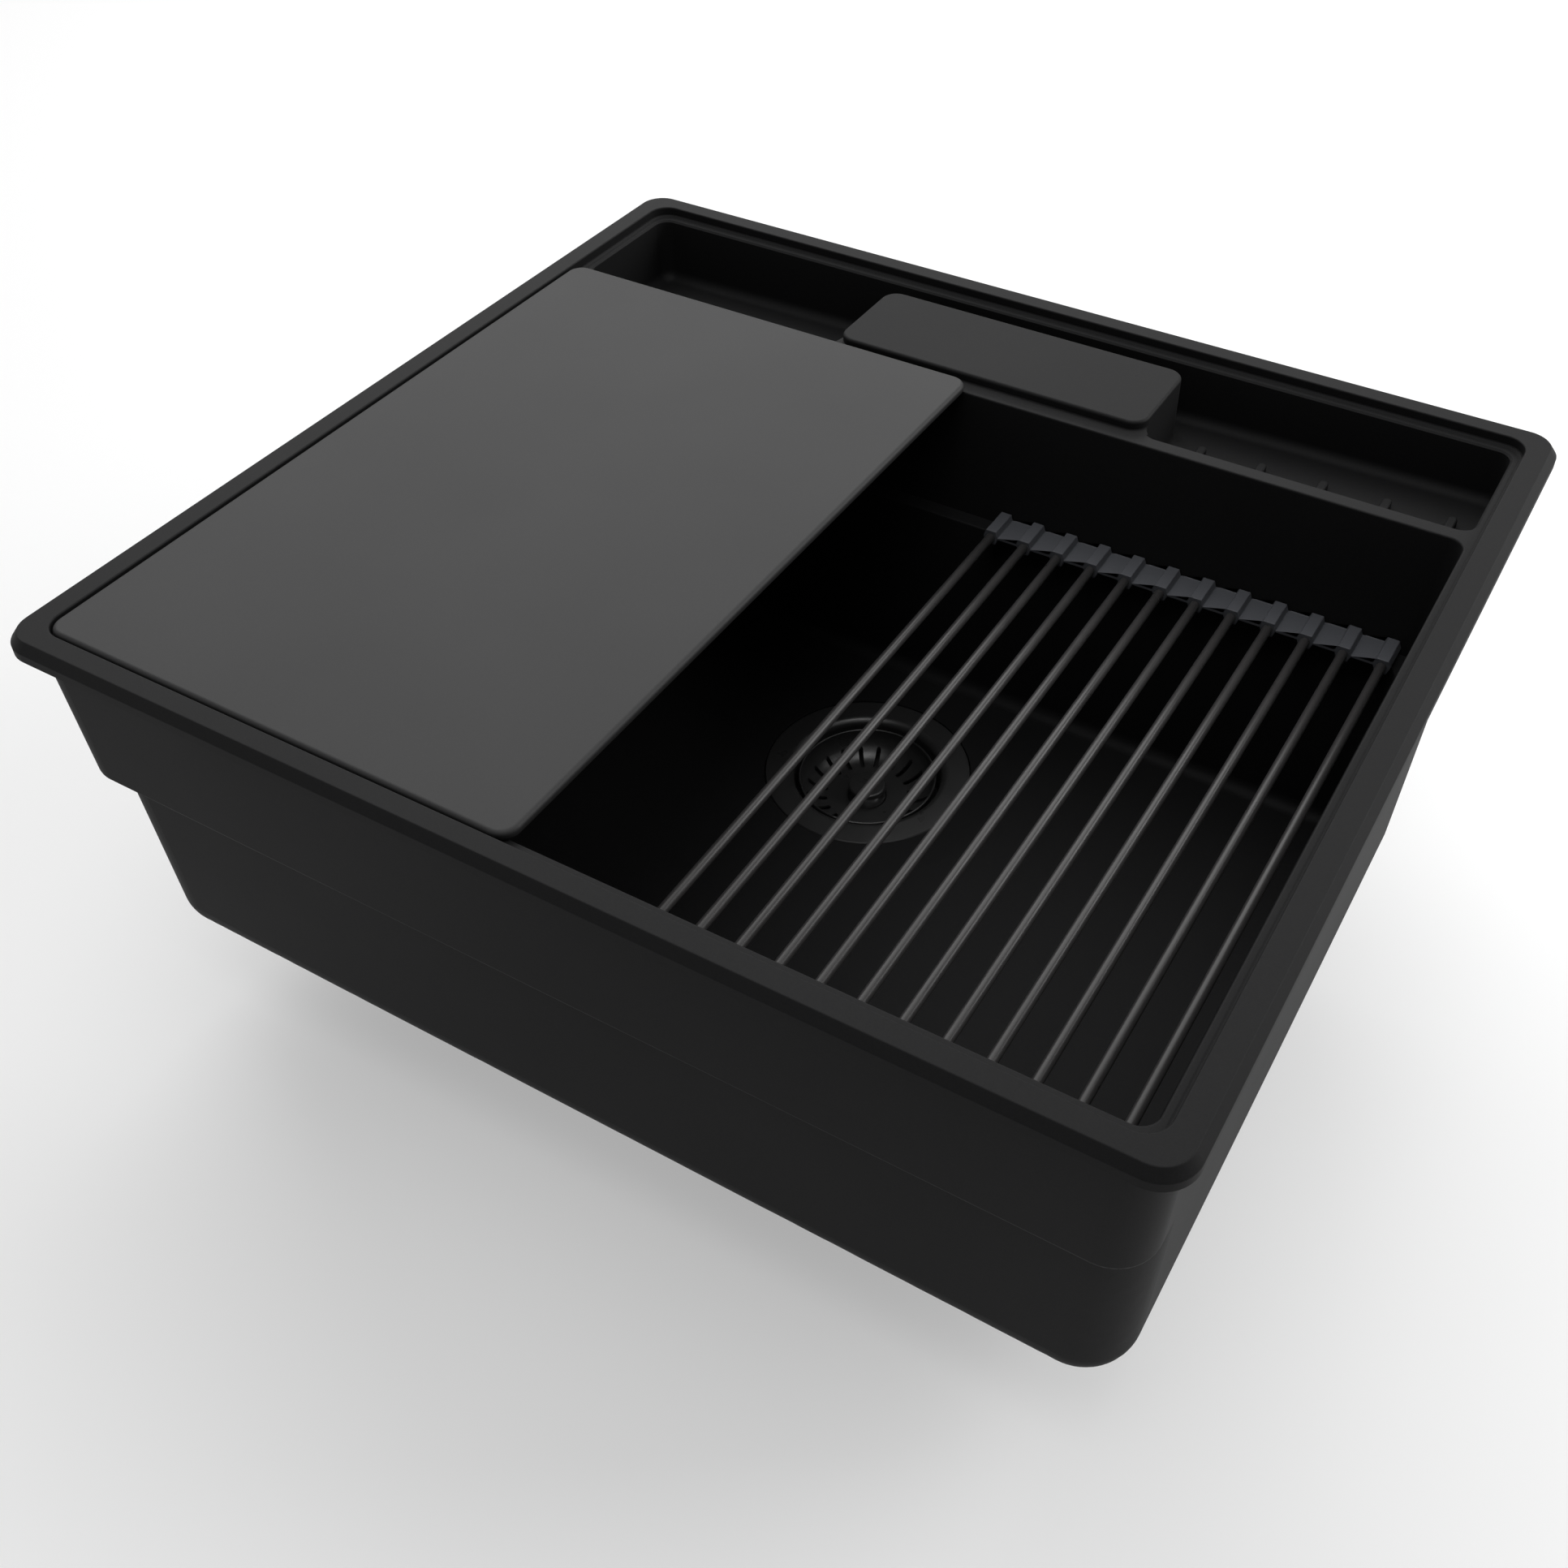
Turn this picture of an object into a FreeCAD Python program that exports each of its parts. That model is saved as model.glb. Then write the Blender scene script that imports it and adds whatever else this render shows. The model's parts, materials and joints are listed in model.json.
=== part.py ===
import FreeCAD, Part

import math
import os

# A workstation kitchen sink: a moulded shell with one deep bowl, a shallow
# trough behind it and a raised tap platform in the trough, a cutting board
# that slides on the shell's upper ledge, a roll-up drying mat that lies on a
# lower ledge, and a basket strainer with its waste fitting under the floor.
#
# Millimetres. X runs along the sink to its right end, Y to its back, Z up.
# The origin is under the middle of the rim, level with the lowest point.
# Heights are written as depths below the rim's flat top.

# Rim
RIM_LENGTH = 560.0
RIM_WIDTH = 510.0
RIM_CORNER = 16.5
RIM_THICKNESS = 9.0
CHAMFER_IN = 3.5
CHAMFER_DROP = 4.5
RIM_EDGE_ROUND = 0.9

# Recess in the rim, with the ledge that carries the board
END_BORDER = 14.5
LONG_BORDER = 13.5
RECESS_CORNER = 11.0
LEDGE_DEPTH = 5.5
BEAD_WIDTH = 1.2
BEAD_HEIGHT = 1.0
BEAD_RAMP = 1.0
RECESS_ROUND = 0.8

# Bowl
OPENING_BORDER = 19.6
BOWL_CORNER = 8.0
SIDE_DRAFT = 2.5
REAR_DRAFT = 4.5
MAT_LEDGE_DEPTH = 76.8
MAT_LEDGE_WIDTH = 9.1
LOWER_CORNER = 12.0
FLOOR_THICKNESS = 8.8
FLOOR_ROUND = 7.5
OPENING_ROUND = 1.0
LEDGE_EDGE_ROUND = 1.0

# Trough, its ribs and its drain gap
DIVIDER_THICKNESS = 9.0
TROUGH_DEPTH_RIGHT = 37.0
TROUGH_FALL = 0.85
TROUGH_CORNER = 8.0
TROUGH_FLOOR_ROUND = 6.0
RIB_COUNT = 5
RIB_PITCH = 33.8
RIB_FIRST_GAP = 18.1
RIB_WIDTH = 5.0
RIB_HEIGHT = 4.0
RIB_ROUND = 1.2
RIB_FRONT_GAP = 10.0
RIB_REAR_GAP = 26.5
DRAIN_GAP_WIDTH = 28.0
DRAIN_GAP_END = 12.0
DRAIN_GAP_ROUND = 5.6

# Tap platform
PLATFORM_LENGTH = 181.0
PLATFORM_WIDTH = 60.5
PLATFORM_REAR_GAP = 17.7
PLATFORM_CORNER = 9.5
PLATFORM_ROUND = 1.6
PLATFORM_BEAD = 1.5
PLATFORM_RAMP = 3.5
PLATFORM_DECK = 12.0
PLATFORM_WALL = 9.0
PLATFORM_HOLLOW_CORNER = 7.2

# Outside of the shell
BODY_INSET = 7.3
BODY_CORNER = 20.0
BODY_DRAFT = 2.5
STEP_DEPTH = 84.0
STEP_IN = 6.3
STEP_ROUND = 3.0
LOWER_BODY_CORNER = 26.0
TROUGH_BODY_DEPTH = 50.0
BOWL_REAR_WALL = 7.8
BOWL_BODY_REAR_DRAFT = 5.5
BODY_DEPTH = 194.0
BODY_BOTTOM_ROUND = 22.0

# Cutting board
BOARD_LENGTH = 257.8
BOARD_THICKNESS = 5.2
BOARD_CORNER_EASE = 2.0
BOARD_EDGE_ROUND = 2.3
BOARD_END_GAP = 1.4
BOARD_FRONT_GAP = 1.1
BOARD_REAR_GAP = 4.2

# Drying mat
ROD_COUNT = 12
ROD_PITCH = 19.56
ROD_DIAMETER = 5.0
LAST_ROD_INSET = 19.64
BLOCK_LENGTH = 19.2
BLOCK_HEIGHT = 8.4
BLOCK_WIDTH = 8.7
BLOCK_FLAT = 5.9
WEB_THICKNESS = 1.3
BLOCK_END_WALL = 1.5
MAT_END_GAP = 0.5

# Basket strainer and waste
DRAIN_FROM_REAR = 112.2
DRAIN_HOLE_RADIUS = 45.0
DISH_DROP = 0.8
DISH_WIDTH = 22.0
FLANGE_RADIUS = 57.0
FLANGE_THICKNESS = 2.0
FLANGE_EDGE = 0.5
FLANGE_GROOVE = 0.6
THROAT_RADIUS = 41.0
THROAT_ROUND = 4.0
CUP_WALL = 1.5
CUP_OUTLET_RADIUS = 18.0
SPIDER_DROP = 1.0
SPIDER_HUB_RADIUS = 7.0
ARM_WIDTH = 3.5
SEAL_THICKNESS = 1.5
SEAL_INSET = 0.8
BASKET_RADIUS = 38.4
BASKET_TOP_DROP = 4.0
BASKET_STRAIGHT = 1.8
BASKET_CURVE = 14.2
BASKET_WALL = 1.2
SLOT_COUNT = 20
SLOT_IN_FLOOR = 0.5
SLOT_TO_WALL = 2.7
SLOT_WIDTH = 2.6
KNOB_RADIUS = 10.5
KNOB_THICKNESS = 3.6
KNOB_HEIGHT = 9.0
KNOB_EDGE_ROUND = 1.2
KNOB_NECK_RADIUS = 5.0
KNOB_FOOT_RADIUS = 11.0
STOPPER_RADIUS = 22.0
STOPPER_THICKNESS = 2.5
STOPPER_RECESS = 1.25
STEM_RADIUS = 12.0
STEM_LENGTH = 1.0
STOPPER_SCREW_RADIUS = 2.0
STOPPER_SCREW_HEAD = 4.0
STOPPER_SCREW_LENGTH = 9.0
GASKET_THICKNESS = 2.5
WASTE_FLANGE_RADIUS = 56.0
WASTE_FLANGE_THICKNESS = 3.0
WASTE_RADIUS = 50.0
WASTE_WALL = 3.5
WASTE_STRAIGHT = 22.0
FUNNEL_HEIGHT = 17.0
OUTLET_RADIUS = 23.9
OUTLET_LENGTH = 24.0
HUB_HEIGHT = 12.0
HUB_ARM_HEIGHT = 6.0
SCREW_RADIUS = 3.95
SCREW_HEAD_RADIUS = 6.0
SCREW_HEAD_HEIGHT = 3.0
SCREW_SLOT_LENGTH = 9.6
SCREW_SLOT_WIDTH = 1.5
SCREW_SLOT_DEPTH = 1.2
NUT_ACROSS_FLATS = 13.0
NUT_HEIGHT = 6.0

# Clearances
SEAT_GAP = 0.3
PIN_GAP = 0.05

# How far a cut runs past what it cuts, how far a raised piece reaches into
# what it stands on, how near an edge is looked for, and what counts as level
OVERCUT = 5.0
ROOT = 1.0
NEAR = 1.0
LEVEL = 0.02

# Places worked out from the sizes above
ledge_face_depth = LEDGE_DEPTH - BEAD_HEIGHT
recess_x = RIM_LENGTH / 2 - END_BORDER
recess_y = RIM_WIDTH / 2 - LONG_BORDER
opening_x = RIM_LENGTH / 2 - OPENING_BORDER
opening_y = RIM_WIDTH / 2 - OPENING_BORDER
platform_rear = opening_y - PLATFORM_REAR_GAP
trough_front = platform_rear - PLATFORM_WIDTH
bowl_rear = trough_front - DIVIDER_THICKNESS
drain_y = bowl_rear - DRAIN_FROM_REAR
floor_depth = BODY_DEPTH - FLOOR_THICKNESS
flange_depth = floor_depth + DISH_DROP
basket_top = flange_depth + BASKET_TOP_DROP
basket_floor = basket_top + BASKET_STRAIGHT + BASKET_CURVE
basket_floor_radius = BASKET_RADIUS - BASKET_WALL - BASKET_CURVE
stopper_depth = basket_floor + BASKET_WALL + STEM_LENGTH
cup_floor_depth = stopper_depth + STOPPER_THICKNESS + SEAT_GAP
spider_depth = cup_floor_depth + SPIDER_DROP
waste_depth = BODY_DEPTH + GASKET_THICKNESS
funnel_depth = waste_depth + WASTE_STRAIGHT
outlet_depth = funnel_depth + FUNNEL_HEIGHT
TOTAL_HEIGHT = outlet_depth + OUTLET_LENGTH

# How far a quarter arc's middle stands in from its corner, as a share of the
# arc's radius
QUARTER_ARC = 1 - math.sqrt(0.5)


def z_at(depth):
    """The height of a level that is given by its depth below the rim's top."""
    return TOTAL_HEIGHT - depth


def fall(angle, run):
    """How far a face that leans by an angle moves over a run."""
    return math.tan(math.radians(angle)) * run


def rectangle(left, right, front, rear, radius):
    """The four corners of a rounded rectangle, as (x, y, radius)."""
    plan = [(left, front), (right, front), (right, rear), (left, rear)]
    return [(x, y, radius) for x, y in plan]


def outline(corners, depth):
    """A closed level wire through corners, each rounded by a tangent arc."""
    height = z_at(depth)
    points = [FreeCAD.Vector(x, y, height) for x, y, radius in corners]
    starts = []
    middles = []
    ends = []
    for index, corner in enumerate(points):
        radius = corners[index][2]
        to_last = (points[index - 1] - corner).normalize()
        to_next = (points[(index + 1) % len(points)] - corner).normalize()
        half = to_last.getAngle(to_next) / 2
        inward = (to_last + to_next).normalize()
        trim = radius / math.tan(half)
        starts.append(corner + to_last * trim)
        middles.append(corner + inward * (radius / math.sin(half) - radius))
        ends.append(corner + to_next * trim)
    edges = []
    for index, start in enumerate(starts):
        if (start - ends[index - 1]).Length > LEVEL:
            edges.append(Part.LineSegment(ends[index - 1], start).toShape())
        edges.append(Part.Arc(start, middles[index], ends[index]).toShape())
    return Part.Wire(edges)


def prism(corners, top, bottom):
    """A straight block with a rounded outline between two depths."""
    face = Part.Face(outline(corners, bottom))
    return face.extrude(FreeCAD.Vector(0, 0, bottom - top))


def taper(top_corners, top, bottom_corners, bottom):
    """A block whose outline changes evenly from one depth to another."""
    wires = [outline(bottom_corners, bottom), outline(top_corners, top)]
    return Part.makeLoft(wires, True, True)


def level_edges(shape, depth, reach_x, front, rear):
    """The edges that lie level at a depth, inside a part of the plan."""
    found = []
    for edge in shape.Edges:
        box = edge.BoundBox
        level = abs(box.ZMin - z_at(depth)) < LEVEL and box.ZLength < LEVEL
        inside_x = max(-box.XMin, box.XMax) < reach_x
        inside_y = box.YMin > front and box.YMax < rear
        if level and inside_x and inside_y:
            found.append(edge)
    return found


def lowest_face(shape):
    """The face of a block that lies lowest."""
    return min(shape.Faces, key=lambda face: face.CenterOfMass.z)


def highest_face(shape):
    """The face of a block that lies highest."""
    return max(shape.Faces, key=lambda face: face.CenterOfMass.z)


def revolve(profile):
    """A turned piece round the drain's axis, from (radius, depth) points.

    An item of four numbers ends an arc: its end, then a point on its way.
    """
    edges = []
    last = None
    first = None
    for item in profile:
        point = FreeCAD.Vector(item[0], drain_y, z_at(item[1]))
        if last is None:
            first = point
        elif len(item) == 4:
            middle = FreeCAD.Vector(item[2], drain_y, z_at(item[3]))
            edges.append(Part.Arc(last, middle, point).toShape())
        else:
            edges.append(Part.LineSegment(last, point).toShape())
        last = point
    edges.append(Part.LineSegment(last, first).toShape())
    axis = FreeCAD.Vector(0, drain_y, 0)
    return Part.Face(Part.Wire(edges)).revolve(axis, FreeCAD.Vector(0, 0, 1), 360)


def cylinder(radius, top, bottom):
    """A round block on the drain's axis between two depths."""
    base = FreeCAD.Vector(0, drain_y, z_at(bottom))
    return Part.makeCylinder(radius, bottom - top, base)


# The moulded shell


def rim_body():
    """The rim's slab with the sloping band along its upper edge."""
    half_x = RIM_LENGTH / 2
    half_y = RIM_WIDTH / 2
    full = rectangle(-half_x, half_x, -half_y, half_y, RIM_CORNER)
    top = rectangle(
        -half_x + CHAMFER_IN,
        half_x - CHAMFER_IN,
        -half_y + CHAMFER_IN,
        half_y - CHAMFER_IN,
        RIM_CORNER - CHAMFER_IN,
    )
    slab = prism(full, CHAMFER_DROP, RIM_THICKNESS)
    return slab.fuse(taper(top, 0.0, full, CHAMFER_DROP))


def body_side(depth, extra=0.0):
    """How far the outside stands in from the rim's edge at a depth."""
    return BODY_INSET + fall(BODY_DRAFT, depth - RIM_THICKNESS) + extra


def bowl_body_rear(depth):
    """Where the outside of the bowl's rear wall stands at a depth."""
    lean = fall(BOWL_BODY_REAR_DRAFT, depth - TROUGH_BODY_DEPTH)
    return bowl_rear + BOWL_REAR_WALL - lean


def trough_body():
    """The upper part of the outside, under the whole rim."""
    wires = []
    for depth in (RIM_THICKNESS, TROUGH_BODY_DEPTH):
        x = RIM_LENGTH / 2 - body_side(depth)
        y = RIM_WIDTH / 2 - body_side(depth)
        wires.append(rectangle(-x, x, -y, y, BODY_CORNER))
    return taper(wires[0], RIM_THICKNESS, wires[1], TROUGH_BODY_DEPTH)


def bowl_body_outline(depth, step, radius):
    """The outside of the bowl's body at a depth, stepped in at two sides."""
    side = body_side(depth)
    half_x = RIM_LENGTH / 2
    front = -RIM_WIDTH / 2 + side + step
    rear = bowl_body_rear(depth)
    return rectangle(-half_x + side + step, half_x - side, front, rear, radius)


def bowl_body():
    """The deep part of the outside, with its step at the front and left."""
    upper = taper(
        bowl_body_outline(RIM_THICKNESS, 0.0, BODY_CORNER),
        RIM_THICKNESS,
        bowl_body_outline(STEP_DEPTH, 0.0, BODY_CORNER),
        STEP_DEPTH,
    )
    lower = taper(
        bowl_body_outline(STEP_DEPTH - STEP_ROUND, STEP_IN, LOWER_BODY_CORNER),
        STEP_DEPTH - STEP_ROUND,
        bowl_body_outline(BODY_DEPTH, STEP_IN, LOWER_BODY_CORNER),
        BODY_DEPTH,
    )
    upper = upper.makeFillet(STEP_ROUND, step_edges(upper))
    lower = lower.makeFillet(BODY_BOTTOM_ROUND, lowest_face(lower).Edges)
    return upper.fuse(lower)


def step_edges(upper):
    """The lower edges of the upper body at the front and the left."""
    return [
        edge
        for edge in lowest_face(upper).Edges
        if edge.CenterOfMass.y < 0 and edge.CenterOfMass.x < RIM_LENGTH / 4
    ]


def recess_outline(inset):
    """The recess in the rim, or an outline parallel to it."""
    return rectangle(
        -recess_x + inset,
        recess_x - inset,
        -recess_y + inset,
        recess_y - inset,
        RECESS_CORNER - inset,
    )


def platform_outline(grow):
    """The tap platform's outline, or one parallel to it."""
    half = PLATFORM_LENGTH / 2 + grow
    front = trough_front - grow
    rear = platform_rear + grow
    return rectangle(-half, half, front, rear, PLATFORM_CORNER + grow)


def recess_cut():
    """The hollow above the ledge, which leaves the platform standing."""
    bead = BEAD_WIDTH
    ramp = BEAD_WIDTH + BEAD_RAMP
    upper = prism(recess_outline(0.0), -OVERCUT, ledge_face_depth)
    lower = taper(
        recess_outline(bead), ledge_face_depth, recess_outline(ramp), LEDGE_DEPTH
    )
    foot = taper(
        platform_outline(PLATFORM_BEAD),
        ledge_face_depth,
        platform_outline(PLATFORM_BEAD + PLATFORM_RAMP),
        LEDGE_DEPTH,
    )
    platform = prism(platform_outline(0.0), 0.0, LEDGE_DEPTH)
    return upper.cut(platform).fuse(lower.cut(foot).cut(platform))


def bowl_outline(depth, inset, radius):
    """The bowl's inside at a depth, or one set in from it."""
    side = fall(SIDE_DRAFT, depth - LEDGE_DEPTH) + inset
    rear = bowl_rear - fall(REAR_DRAFT, depth - LEDGE_DEPTH) - inset
    return rectangle(
        -opening_x + side, opening_x - side, -opening_y + side, rear, radius
    )


def bowl_cut():
    """The bowl: an upper part down to the mat's ledge and a lower part."""
    top = LEDGE_DEPTH - BEAD_HEIGHT / 2
    upper = taper(
        bowl_outline(top, 0.0, BOWL_CORNER),
        top,
        bowl_outline(MAT_LEDGE_DEPTH, 0.0, BOWL_CORNER),
        MAT_LEDGE_DEPTH,
    )
    inset = MAT_LEDGE_WIDTH
    lower = taper(
        bowl_outline(MAT_LEDGE_DEPTH - OVERCUT, inset, LOWER_CORNER),
        MAT_LEDGE_DEPTH - OVERCUT,
        bowl_outline(floor_depth, inset, LOWER_CORNER),
        floor_depth,
    )
    lower = lower.makeFillet(FLOOR_ROUND, lowest_face(lower).Edges)
    return upper.fuse(lower)


def drain_cut():
    """The dish round the drain, the seat of the flange and the hole."""
    seat_radius = FLANGE_RADIUS + FLANGE_GROOVE
    seat_depth = flange_depth + FLANGE_THICKNESS + SEAL_THICKNESS
    dish = Part.makeCone(
        seat_radius,
        seat_radius + DISH_WIDTH,
        DISH_DROP,
        FreeCAD.Vector(0, drain_y, z_at(flange_depth)),
    )
    seat = cylinder(seat_radius, floor_depth, seat_depth)
    hole = cylinder(DRAIN_HOLE_RADIUS, floor_depth, BODY_DEPTH + OVERCUT)
    return dish.fuse(seat).fuse(hole)


def trough_floor(x):
    """The depth of the trough's floor, which falls towards the left."""
    return TROUGH_DEPTH_RIGHT + fall(TROUGH_FALL, opening_x - x)


def trough_outline(grow):
    """The trough round three sides of the platform, or one parallel to it."""
    half = PLATFORM_LENGTH / 2 - grow
    end = opening_x + grow
    front = trough_front - grow
    inner = platform_rear - grow
    rear = opening_y + grow
    corner = TROUGH_CORNER + grow
    platform_corner = PLATFORM_CORNER - grow
    return [
        (-end, front, corner),
        (-half, front, corner),
        (-half, inner, platform_corner),
        (half, inner, platform_corner),
        (half, front, corner),
        (end, front, corner),
        (end, rear, corner),
        (-end, rear, corner),
    ]


def trough_cut():
    """The trough with its sloping floor and rounded foot."""
    top = ledge_face_depth
    hollow = prism(trough_outline(0.0), top, trough_floor(-opening_x) + OVERCUT)
    reach = RIM_LENGTH / 2
    corners = [
        FreeCAD.Vector(-reach, 0, z_at(top) + OVERCUT),
        FreeCAD.Vector(reach, 0, z_at(top) + OVERCUT),
        FreeCAD.Vector(reach, 0, z_at(trough_floor(reach))),
        FreeCAD.Vector(-reach, 0, z_at(trough_floor(-reach))),
    ]
    side = Part.Face(Part.makePolygon(corners + corners[:1]))
    above_floor = side.extrude(FreeCAD.Vector(0, RIM_WIDTH, 0))
    hollow = hollow.common(above_floor)
    hollow = hollow.makeFillet(TROUGH_FLOOR_ROUND, lowest_face(hollow).Edges)
    flare = taper(
        trough_outline(OPENING_ROUND),
        LEDGE_DEPTH,
        trough_outline(0.0),
        LEDGE_DEPTH + OPENING_ROUND,
    )
    platform = prism(platform_outline(0.0), 0.0, LEDGE_DEPTH + OVERCUT)
    return hollow.fuse(flare.cut(platform))


def trough_ribs():
    """The raised ribs on the trough's floor at the right."""
    ribs = []
    first = PLATFORM_LENGTH / 2 + RIB_FIRST_GAP
    front = trough_front + RIB_FRONT_GAP
    rear = opening_y - RIB_REAR_GAP
    for index in range(RIB_COUNT):
        x = first + index * RIB_PITCH
        floor = trough_floor(x)
        half = RIB_WIDTH / 2
        plan = rectangle(x - half, x + half, front, rear, half)
        rib = prism(plan, floor - RIB_HEIGHT, floor + ROOT)
        ribs.append(rib.makeFillet(RIB_ROUND, highest_face(rib).Edges))
    return ribs


def drain_gap_cut():
    """The gap at the divider's left end, which lets the trough run out."""
    left = -opening_x + DRAIN_GAP_END
    right = left + DRAIN_GAP_WIDTH
    floor = trough_floor(left)
    front = bowl_rear - fall(REAR_DRAFT, floor) - OVERCUT
    rear = trough_front + TROUGH_FLOOR_ROUND
    base = FreeCAD.Vector(left, front, z_at(floor))
    block = Part.makeBox(right - left, rear - front, floor - ledge_face_depth, base)
    sides = [edge for edge in lowest_face(block).Edges if edge.BoundBox.YLength > NEAR]
    return block.makeFillet(DRAIN_GAP_ROUND, sides)


def platform_hollow():
    """The hollow under the platform, which the tap's nut is reached through."""
    half = PLATFORM_LENGTH / 2 - PLATFORM_WALL
    front = trough_front + PLATFORM_WALL
    rear = platform_rear - PLATFORM_WALL
    plan = rectangle(-half, half, front, rear, PLATFORM_HOLLOW_CORNER)
    return prism(plan, PLATFORM_DECK, TROUGH_BODY_DEPTH + OVERCUT)


def without(edges, others):
    """The edges that aren't among the others."""
    return [edge for edge in edges if not any(edge.isSame(other) for other in others)]


def edges_by_the_recess(shell, depth):
    """The edges at a depth that lie in the recess or along its border."""
    reach_y = recess_y + NEAR
    return level_edges(shell, depth, recess_x + NEAR, -reach_y, reach_y)


def platform_top_edges(shell):
    """The edges round the platform's top."""
    reach = PLATFORM_LENGTH / 2 + NEAR
    return level_edges(shell, 0.0, reach, trough_front - NEAR, platform_rear + NEAR)


def recess_top_edges(shell):
    """The edges where the rim's flat top meets the recess."""
    return without(edges_by_the_recess(shell, 0.0), platform_top_edges(shell))


def rim_outer_edges(shell):
    """The edges above and below the rim's sloping band."""
    reach_x = RIM_LENGTH / 2 + NEAR
    reach_y = RIM_WIDTH / 2 + NEAR
    found = []
    for depth in (0.0, CHAMFER_DROP):
        every = level_edges(shell, depth, reach_x, -reach_y, reach_y)
        found += without(every, edges_by_the_recess(shell, depth))
    return found


def bowl_opening_edges(shell):
    """The edges where the ledge meets the bowl's walls."""
    return level_edges(
        shell, LEDGE_DEPTH, opening_x + NEAR / 2, -opening_y - NEAR / 2, bowl_rear + NEAR / 2
    )


def mat_ledge_edges(shell):
    """The inner edges of the ledge that carries the mat."""
    inside = bowl_outline(MAT_LEDGE_DEPTH, MAT_LEDGE_WIDTH - NEAR, BOWL_CORNER)
    reach = inside[1][0]
    return level_edges(shell, MAT_LEDGE_DEPTH, reach, inside[0][1], inside[2][1])


def sink_shell():
    """The moulded shell, one piece from the rim to the bowl's floor."""
    shell = rim_body().fuse(trough_body()).fuse(bowl_body()).removeSplitter()
    hollows = [recess_cut(), bowl_cut(), drain_cut(), trough_cut(), drain_gap_cut()]
    for hollow in hollows + [platform_hollow()]:
        shell = shell.cut(hollow)
    roundings = [
        (PLATFORM_ROUND, platform_top_edges),
        (RECESS_ROUND, recess_top_edges),
        (RIM_EDGE_ROUND, rim_outer_edges),
        (OPENING_ROUND, bowl_opening_edges),
        (LEDGE_EDGE_ROUND, mat_ledge_edges),
    ]
    for radius, pick in roundings:
        shell = shell.makeFillet(radius, pick(shell))
    for rib in trough_ribs():
        shell = shell.fuse(rib)
    return shell


# The cutting board


def cutting_board():
    """The board, at the left end of its ledge."""
    left = -recess_x + BOARD_END_GAP
    front = -recess_y + BOARD_FRONT_GAP
    rear = trough_front - BOARD_REAR_GAP
    corner = RECESS_CORNER - BOARD_CORNER_EASE
    plan = rectangle(left, left + BOARD_LENGTH, front, rear, corner)
    underside = LEDGE_DEPTH - SEAT_GAP
    board = prism(plan, underside - BOARD_THICKNESS, underside)
    round_edges = highest_face(board).Edges + lowest_face(board).Edges
    return board.makeFillet(BOARD_EDGE_ROUND, round_edges)


# The drying mat


def rod_centre_depth():
    """The depth of the rods' axes, in the middle of their blocks."""
    return MAT_LEDGE_DEPTH - SEAT_GAP - BLOCK_HEIGHT / 2


def mat_end(rear):
    """Where the mat's rear or front end stands, at the level of the rods."""
    wall = bowl_outline(MAT_LEDGE_DEPTH, 0.0, BOWL_CORNER)
    if rear:
        return wall[2][1] - MAT_END_GAP
    return wall[0][1] + MAT_END_GAP


def rod_x(index):
    """Where a rod stands along the sink, counted from the left."""
    rods_to_its_right = ROD_COUNT - 1 - index
    return opening_x - LAST_ROD_INSET - rods_to_its_right * ROD_PITCH


def mat_rod(index):
    """One round rod, with both ends inside their blocks."""
    front = mat_end(False) + BLOCK_END_WALL
    rear = mat_end(True) - BLOCK_END_WALL
    base = FreeCAD.Vector(rod_x(index), front, z_at(rod_centre_depth()))
    return Part.makeCylinder(
        ROD_DIAMETER / 2, rear - front, base, FreeCAD.Vector(0, 1, 0)
    )


def mat_block(x, front):
    """One six-sided block of an end strip."""
    middle = rod_centre_depth()
    flat = BLOCK_FLAT / 2
    wide = BLOCK_WIDTH / 2
    tall = BLOCK_HEIGHT / 2
    section = [
        (-wide, 0.0), (-flat, tall), (flat, tall), (wide, 0.0), (flat, -tall), (-flat, -tall)
    ]
    points = [FreeCAD.Vector(x + dx, front, z_at(middle) + dz) for dx, dz in section]
    face = Part.Face(Part.makePolygon(points + points[:1]))
    return face.extrude(FreeCAD.Vector(0, BLOCK_LENGTH, 0))


def mat_strip(rear):
    """A soft end strip: a block on each rod, joined by thin webs."""
    middle = z_at(rod_centre_depth())
    front = mat_end(True) - BLOCK_LENGTH if rear else mat_end(False)
    last = ROD_COUNT - 1
    web = Part.makeBox(
        rod_x(last) - rod_x(0),
        BLOCK_LENGTH,
        WEB_THICKNESS,
        FreeCAD.Vector(rod_x(0), front, middle - WEB_THICKNESS / 2),
    )
    strip = web.multiFuse([mat_block(rod_x(i), front) for i in range(ROD_COUNT)])
    bore_front = front - OVERCUT if rear else front + BLOCK_END_WALL - PIN_GAP
    length = BLOCK_LENGTH - BLOCK_END_WALL + OVERCUT + PIN_GAP
    for index in range(ROD_COUNT):
        base = FreeCAD.Vector(rod_x(index), bore_front, middle)
        bore = Part.makeCylinder(
            ROD_DIAMETER / 2 + PIN_GAP, length, base, FreeCAD.Vector(0, 1, 0)
        )
        strip = strip.cut(bore)
    return strip


# The basket strainer


def flange_underside():
    """The depth of the flange's underside."""
    return flange_depth + FLANGE_THICKNESS


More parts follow.
